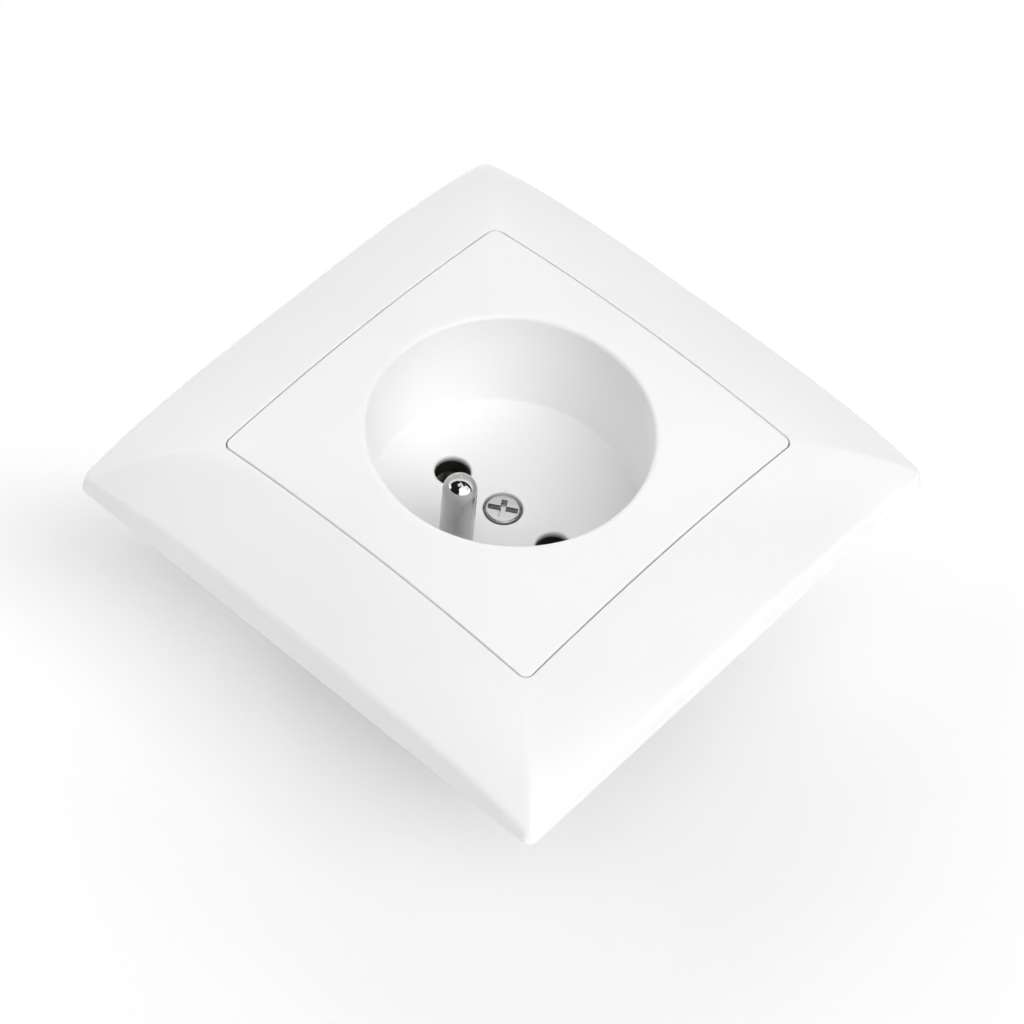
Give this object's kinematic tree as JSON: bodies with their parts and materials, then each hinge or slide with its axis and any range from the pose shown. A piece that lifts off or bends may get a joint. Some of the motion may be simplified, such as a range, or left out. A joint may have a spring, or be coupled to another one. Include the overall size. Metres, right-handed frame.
{
  "type": "wall socket",
  "caption": "Flush wall socket with a round plug well, two contact holes and a fixed earth pin, in a square cover frame over a claw-fixed mechanism.",
  "frame": {"origin": "centre of the box screw pattern, in the plane of the wall behind the bracket and the cover frame", "axes": "+Z out of the wall into the room, +Y up the wall towards the earth pin, +X to the right seen from the room"},
  "size_m": [0.0832, 0.0832, 0.0409],
  "materials": {
    "frame_white": "gloss",
    "plate_white": "satin",
    "base_white": "matt moulded",
    "cover_grey": "matt moulded",
    "zinc_steel": "zinc plated",
    "nickel": "nickel plated, drawn",
    "brass": "stamped sheet"
  },
  "bodies": {
    "socket": {"cover_frame": "frame_white", "centre_plate": "plate_white", "plate_screw": "nickel", "plate_nut": "zinc_steel", "earth_pin": "nickel", "mounting_bracket": "zinc_steel", "socket_base": "base_white", "contact_cover": "cover_grey", "live_contact": "brass", "neutral_contact": "brass", "earth_strap": "brass", "live_clamp": "zinc_steel", "neutral_clamp": "zinc_steel", "earth_clamp": "zinc_steel", "live_terminal_screw": "zinc_steel", "neutral_terminal_screw": "zinc_steel", "earth_terminal_screw": "zinc_steel", "upper_bracket_screw": "zinc_steel", "lower_bracket_screw": "zinc_steel"},
    "left_screw": {"claw_screw_left": "zinc_steel"},
    "left_claw": {"claw_left": "zinc_steel"},
    "right_screw": {"claw_screw_right": "zinc_steel"},
    "right_claw": {"claw_right": "zinc_steel"}
  },
  "joints": [
    {"name": "left_claw_tilt", "type": "hinge", "parent": "socket", "child": "left_screw", "pos_m": [-0.025, 0, 0.0031], "axis": [0, 1, 0], "range_deg": [0, 10]},
    {"name": "left_claw_climb", "type": "slide", "parent": "left_screw", "child": "left_claw", "axis": [0, 0, 1], "range_m": [0, 0.008]},
    {"name": "right_claw_tilt", "type": "hinge", "parent": "socket", "child": "right_screw", "pos_m": [0.025, 0, 0.0031], "axis": [0, -1, 0], "range_deg": [0, 10]},
    {"name": "right_claw_climb", "type": "slide", "parent": "right_screw", "child": "right_claw", "axis": [0, 0, 1], "range_m": [0, 0.008]}
  ],
  "couplings": [
    {"joint": "left_claw_climb", "follows": "left_claw_tilt", "m_per_rad": 0.045837},
    {"joint": "right_claw_climb", "follows": "right_claw_tilt", "m_per_rad": 0.045837}
  ]
}
